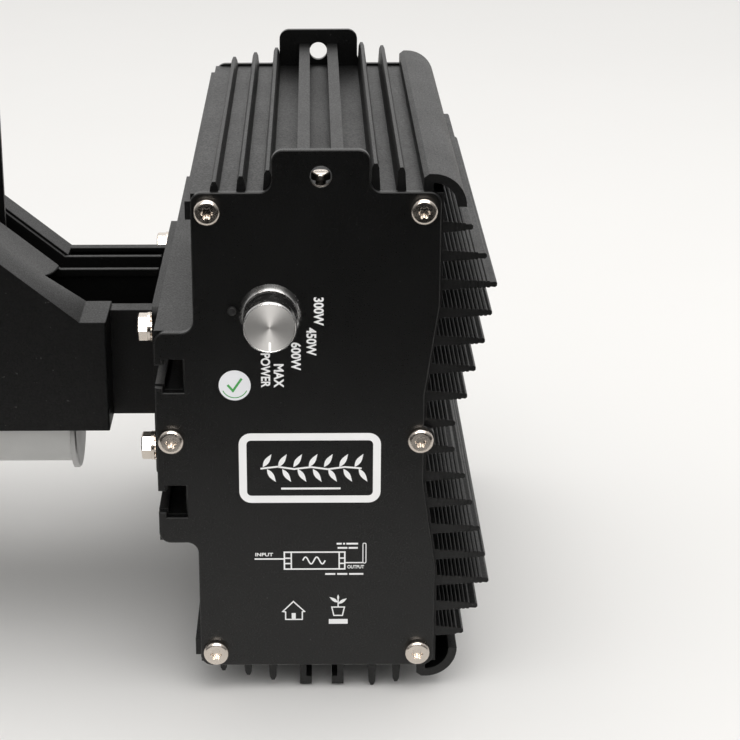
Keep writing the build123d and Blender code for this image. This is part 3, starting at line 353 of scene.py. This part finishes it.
def leaf(x, z, length, turn, width=0.34):
    """Outline of a pointed leaf that starts at (x, z) and points along turn."""
    a = math.radians(turn)
    out = []
    for side in (1, -1):
        steps = range(0, 9) if side > 0 else range(7, 0, -1)
        for i in steps:
            t = i / 8
            across = side * width * length * math.sin(math.pi * t) * (1.15 - 0.5 * t) / 2
            out.append((x + length * t * math.cos(a) - across * math.sin(a),
                        z + length * t * math.sin(a) + across * math.cos(a)))
    return out


def lettering(name, words, x, z, length, height, upright=False, weight=0.03):
    """Printed letters fitted to a length and height, reading downwards unless upright."""
    font = bpy.data.curves.new(name, "FONT")
    font.body = words
    font.align_x, font.align_y = "CENTER", "CENTER"
    font.offset = weight
    font.extrude = 0.01
    holder = bpy.data.objects.new(name + "_type", font)
    bpy.context.scene.collection.objects.link(holder)
    bpy.context.view_layer.update()
    mesh = bpy.data.meshes.new_from_object(holder.evaluated_get(bpy.context.evaluated_depsgraph_get()))
    bpy.data.objects.remove(holder)
    xs, ys = [v.co.x for v in mesh.vertices], [v.co.y for v in mesh.vertices]
    size = (max(xs) - min(xs), max(ys) - min(ys))
    middle = ((max(xs) + min(xs)) / 2, (max(ys) + min(ys)) / 2)
    for v in mesh.vertices:
        along = (v.co.x - middle[0]) / size[0] * length
        above = (v.co.y - middle[1]) / size[1] * height
        lift = INK_T if v.co.z > 0 else 0.0
        v.co = on_panel(x + along, z + above, lift) if upright else on_panel(x + above, z - along, lift)
    mesh.name = name
    return add_piece(name, mesh, INK, "ballast")


def lathe(profile, steps, centre, name):
    """Turns (radius, depth) points about an axis along Y; depth runs away from the panel."""
    bm = bmesh.new()
    rings = []
    for radius, depth in profile:
        y = PANEL_Y - depth * MM
        if radius < 1e-6:
            rings.append([bm.verts.new((centre[0], y, centre[1]))])
            continue
        ring = []
        for k in range(steps):
            a = 2 * math.pi * k / steps
            ring.append(bm.verts.new((centre[0] + radius * MM * math.cos(a), y,
                                      centre[1] + radius * MM * math.sin(a))))
        rings.append(ring)
    for a, b in zip(rings, rings[1:]):
        for k in range(steps):
            j = (k + 1) % steps
            if len(a) == 1:
                bm.faces.new((a[0], b[k], b[j]))
            elif len(b) == 1:
                bm.faces.new((a[k], b[0], a[j]))
            else:
                bm.faces.new((a[k], b[k], b[j], a[j]))
    bmesh.ops.recalc_face_normals(bm, faces=bm.faces)
    mesh = bpy.data.meshes.new(name)
    bm.to_mesh(mesh)
    bm.free()
    mesh.polygons.foreach_set("use_smooth", [True] * len(mesh.polygons))
    mesh.set_sharp_from_angle(angle=math.radians(28))
    return mesh


# --- dimmer knob ----------------------------------------------------------------------------------------
# Radii, and depths out from the panel, in millimetres.
HOLLOW_R, HOLLOW_DEPTH = 8.3, 4.2
SKIRT_R, SKIRT_BACK = 11.9, 0.42
NECK_R, CAP_R, FACE_R = 8.7, 10.05, 9.2
FACE_BACK = 16.0            # everything on the spun face lies further out than this

hollow = [(0.0, HOLLOW_DEPTH), (HOLLOW_R, HOLLOW_DEPTH), (HOLLOW_R, SKIRT_BACK)]
skirt = [(SKIRT_R - 0.3, SKIRT_BACK), (SKIRT_R - 0.05, 0.6), (SKIRT_R, 0.9)]
skirt += [(11.3, 2.2), (10.6, 3.5), (10.3, 3.8)]
neck = [(NECK_R + 0.2, 3.9), (NECK_R, 4.1), (NECK_R, 5.0), (NECK_R + 0.2, 5.2)]
cap = [(CAP_R - 0.25, 5.3), (CAP_R, 5.6), (CAP_R, 15.9), (CAP_R - 0.05, 16.1), (9.5, 16.8), (9.35, 16.9)]
face = [(FACE_R, 16.85), (9.1, 16.75), (6.0, 16.72), (3.0, 16.71), (0.0, 16.7)]
knob_profile = hollow + skirt + neck + cap + face
knob_mesh = lathe(knob_profile, 128, KNOB_AXIS, "knob_turned")
knob = add_piece("knob_turned", knob_mesh, TURNED, "dimmer")
knob_mesh.materials.append(SPUN)
for polygon in knob_mesh.polygons:
    reach = math.hypot(polygon.center.x - KNOB_AXIS[0], polygon.center.z - KNOB_AXIS[1])
    if reach < FACE_R * MM and polygon.center.y < PANEL_Y - FACE_BACK * MM:
        polygon.material_index = 1
knob.visible_glossy = False
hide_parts("dimmer_knob")

POINTER_HALF = 0.4          # half the pointer's width, and the radius of its ends
POINTER_ENDS = (-8.9, -5.6)
POINTER_OUT, POINTER_BACK = 16.92, 16.6


def knob_ring(bm, outline, depth):
    """Points of an outline round the knob's axis, at a depth out from the panel."""
    y = PANEL_Y - depth * MM
    return [bm.verts.new((KNOB_AXIS[0] + x * MM, y, KNOB_AXIS[1] + z * MM)) for x, z in outline]


pointer_mesh = bpy.data.meshes.new("knob_pointer")
bm = bmesh.new()
outline = rounded(-POINTER_HALF, POINTER_HALF, *POINTER_ENDS, POINTER_HALF)
top = knob_ring(bm, outline, POINTER_OUT)
low = knob_ring(bm, outline, POINTER_BACK)
bm.faces.new(top)
for i in range(len(top)):
    j = (i + 1) % len(top)
    bm.faces.new((top[i], low[i], low[j], top[j]))
bmesh.ops.recalc_face_normals(bm, faces=bm.faces)
bm.to_mesh(pointer_mesh)
bm.free()
pointer = add_piece("knob_pointer", pointer_mesh, INK, "dimmer")


# --- printed marks on the front panel -------------------------------------------------------------------
# Each name is followed by its words, middle, length and height, in millimetres from the centre line.
lettering("dial_300", "300W", 1.1, 51.9, 11.2, 3.8)
lettering("dial_450", "450W", -1.7, 39.9, 11.2, 3.8)
lettering("dial_600", "600W", -7.5, 34.0, 11.2, 3.8)
lettering("dial_max", "MAX", -14.1, 26.2, 9.6, 3.8)
lettering("dial_power", "POWER", -19.1, 28.4, 13.8, 3.6)

badge = Print()
badge.line(rounded(-28.3, 23.4, -24.9, 1.2, 3.2), 3.0, closed=True)
stem = [(-21.5, -12.0), (-15.0, -11.2), (-8.5, -12.2), (-2.0, -11.4)]
stem += [(4.5, -12.3), (11.0, -11.4), (17.5, -12.0)]
badge.line(stem, 0.7)
LEAF_PAIRS, LEAF_START, LEAF_STEP = 7, -20.6, 5.9
for i in range(LEAF_PAIRS):
    x = LEAF_START + i * LEAF_STEP
    badge.fill(leaf(x, -11.4, 6.4, 58))
    badge.fill(leaf(x + 1.6, -12.2, 6.4, -58))
badge.line([(-13.6, -20.4), (9.4, -20.4)], 0.8)
badge.finish("front_badge")

house = Print()
house.line([(-13.4, -73.5), (-9.2, -69.1), (-4.8, -73.5), (-5.7, -73.7), (-5.7, -77.0), (-12.3, -77.0),
            (-12.3, -73.7)], 0.5, closed=True)
house.box(-9.9, -8.3, -76.8, -74.2)
house.finish("house_mark")

pot = Print()
pot.line([(6.0, -71.6), (11.0, -71.6), (10.2, -75.3), (6.8, -75.3)], 0.5, closed=True)
pot.line([(8.5, -71.4), (8.5, -68.2)], 0.5)
pot.fill(leaf(8.5, -70.2, 4.2, 35))
pot.fill(leaf(8.5, -69.6, 4.2, 145))
pot.fill(leaf(8.5, -68.6, 2.6, 90))
pot.box(4.8, 12.3, -79.0, -76.9)
pot.finish("plant_mark")

wiring = Print()
wiring.line([(-12.6, -47.6), (11.1, -47.6), (11.1, -54.9), (-12.6, -54.9)], 0.6, closed=True)
for x in (-9.9, 8.9):
    wiring.line([(x, -47.9), (x, -54.6)], 0.55)
for z in (-50.2, -52.5):
    wiring.line([(-12.3, z), (-10.1, z)], 0.6)
    wiring.line([(9.1, z), (10.8, z)], 0.6)
wiring.line([(-24.3, -50.5), (-12.9, -50.5)], 0.6)
wiring.line([(11.4, -52.2), (18.2, -52.2)], 0.5)
wiring.line(rounded(18.2, 19.4, -52.4, -43.8, 0.55), 0.36, closed=True)
wave = [(-5.4 + 8.8 * i / 24, -51.2 + 1.5 * math.sin(2 * math.pi * i / 12)) for i in range(25)]
wiring.line(wave, 0.55)
for x0, x1, z in ((7.9, 9.9, -44.0), (10.4, 11.2, -44.0), (11.7, 16.3, -44.0), (8.3, 12.1, -45.8),
                  (12.6, 16.2, -45.8), (3.4, 7.4, -57.1), (8.1, 12.1, -57.1), (12.8, 18.4, -57.1)):
    wiring.line([(x0, z), (x1, z)], 0.75)
wiring.finish("wiring_mark")
lettering("wiring_in", "INPUT", -20.5, -48.6, 7.0, 1.5, upright=True)
lettering("wiring_out", "OUTPUT", 15.4, -54.0, 6.6, 1.5, upright=True)

LABEL_MID, LABEL_R, LABEL_T = (-30.9, 22.4), 6.1, 0.09
label = Print(lift=LABEL_T)
label.fill(arc(*LABEL_MID, LABEL_R, 0, 352.5, 47))
label.finish("check_label", LABEL)
tick = Print(lift=LABEL_T + 0.03, base=LABEL_T)
tick.line([(-33.6, 22.6), (-31.6, 20.2), (-28.2, 25.2)], 0.9)
tick.line(arc(*LABEL_MID, 5.0, 205, 335, 16), 0.35)
tick.finish("check_tick", GREEN_INK)


# --- studio ---------------------------------------------------------------------------------------------
FLOOR_Z = cad_low.z - 0.4 * MM


def floor_sheet(name, x0, x1, y0, y1, z, material):
    mesh = bpy.data.meshes.new(name)
    mesh.from_pydata([(x0, y0, z), (x1, y0, z), (x1, y1, z), (x0, y1, z)], [], [(0, 1, 2, 3)])
    made = bpy.data.objects.new(name, mesh)
    made.data.materials.append(material)
    bpy.context.scene.collection.objects.link(made)
    return made


paper = Maker("studio_paper")
paper.shader.inputs["Specular IOR Level"].default_value = 0.1
paper_tone = paper.blend(paper.noise(paper.place(), 3.0), (0.80, 0.795, 0.785, 1), (0.83, 0.825, 0.815, 1))
paper.done(paper_tone, 0.9)
floor = floor_sheet("studio_floor", -4, 4, -4, 6, FLOOR_Z, paper.mat)
floor.visible_glossy = False
card = floor_sheet("bounce_card", -1.5, 1.5, -0.25, 4, FLOOR_Z - 0.5 * MM, paper.mat)
card.visible_camera = False
card.visible_diffuse = False

world = bpy.data.worlds.new("studio_world")
bpy.context.scene.world = world
world.use_nodes = True
tree = world.node_tree
backdrop = tree.nodes["Background"]


def world_node(kind, inputs=(), **props):
    made = tree.nodes.new("ShaderNode" + kind)
    for key, value in props.items():
        setattr(made, key, value)
    for key, value in dict(inputs).items():
        if isinstance(value, bpy.types.NodeSocket):
            tree.links.new(value, made.inputs[key])
        else:
            made.inputs[key].default_value = value
    return made


# Glossy rays see a sky that is dark in front and brightens behind and above.
DIFFUSE_FILL = 0.95
CAMERA_LEVEL = 0.74
axes = world_node("SeparateXYZ", {0: world_node("TexCoord").outputs["Generated"]})
rear = world_node("MapRange", {"Value": axes.outputs["Y"], 1: -0.3, 2: 0.85, 3: 0.03, 4: 0.75})
above = world_node("MapRange", {"Value": axes.outputs["Z"], 1: 0.0, 2: 0.9, 3: 0.0, 4: 0.5})
both = world_node("Math", {0: rear.outputs[0], 1: above.outputs[0]}, operation="ADD")
below = world_node("MapRange", {"Value": axes.outputs["Z"], 1: -0.2, 2: 0.0, 3: 0.03, 4: 1.0})
lit = world_node("Math", {0: both.outputs[0], 1: below.outputs[0]}, operation="MULTIPLY")
rays = world_node("LightPath")
soft = world_node("Mix", {0: rays.outputs["Is Diffuse Ray"], 2: lit.outputs[0], 3: DIFFUSE_FILL})
level = world_node("Mix", {0: rays.outputs["Is Camera Ray"], 2: soft.outputs[0], 3: CAMERA_LEVEL})
tree.links.new(level.outputs[0], backdrop.inputs["Strength"])
backdrop.inputs["Color"].default_value = (1.0, 0.992, 0.98, 1.0)


def soft_box(name, place, aim, width, height, power, colour):
    lamp = bpy.data.lights.new(name, "AREA")
    lamp.shape = "RECTANGLE"
    lamp.size, lamp.size_y = width, height
    lamp.energy = power
    lamp.color = colour
    made = bpy.data.objects.new(name, lamp)
    made.location = place
    made.rotation_euler = (Vector(aim) - Vector(place)).to_track_quat("-Z", "Y").to_euler()
    bpy.context.scene.collection.objects.link(made)
    return made


soft_box("overhead", (0.16, 0.02, 1.15), (0.06, 0.0, -0.2), 1.6, 1.2, 8.0, (1.0, 0.985, 0.96))
glint = soft_box("front_glint", (0.0, -1.0, 0.85), (-0.02, 0.0, -0.05), 1.1, 0.9, 24.0, (1.0, 0.97, 0.93))
bright_parts = bpy.data.collections.new("bright_parts")
bright_parts.objects.link(knob)
bright_parts.objects.link(pointer)
for part in frame["record"]["subparts"]:
    if part["material_slot"] in ("bright_steel", "satin_metal", "brass"):
        bright_parts.objects.link(nodes[part["node"]])
glint.light_linking.receiver_collection = bright_parts

CAMERA_PLACE = (-0.0034, -0.7289, 0.1957)
YAW, PITCH_DOWN, ROLL = 0.0957, 20.406, -0.242
camera_data = bpy.data.cameras.new("camera")
camera_data.sensor_width = 36.0
camera_data.lens = 99.86
camera_data.shift_x = 0.0824
camera_data.clip_start, camera_data.clip_end = 0.05, 30.0
camera = bpy.data.objects.new("camera", camera_data)
yaw, down, roll = math.radians(YAW), math.radians(PITCH_DOWN), math.radians(ROLL)
tilt = Matrix.Rotation(math.pi / 2 - down, 4, "X")
turn = Matrix.Rotation(yaw, 4, "Z") @ tilt @ Matrix.Rotation(roll, 4, "Z")
camera.matrix_world = Matrix.Translation(CAMERA_PLACE) @ turn
bpy.context.scene.collection.objects.link(camera)
bpy.context.scene.camera = camera
bpy.context.scene.view_settings.view_transform = "Standard"
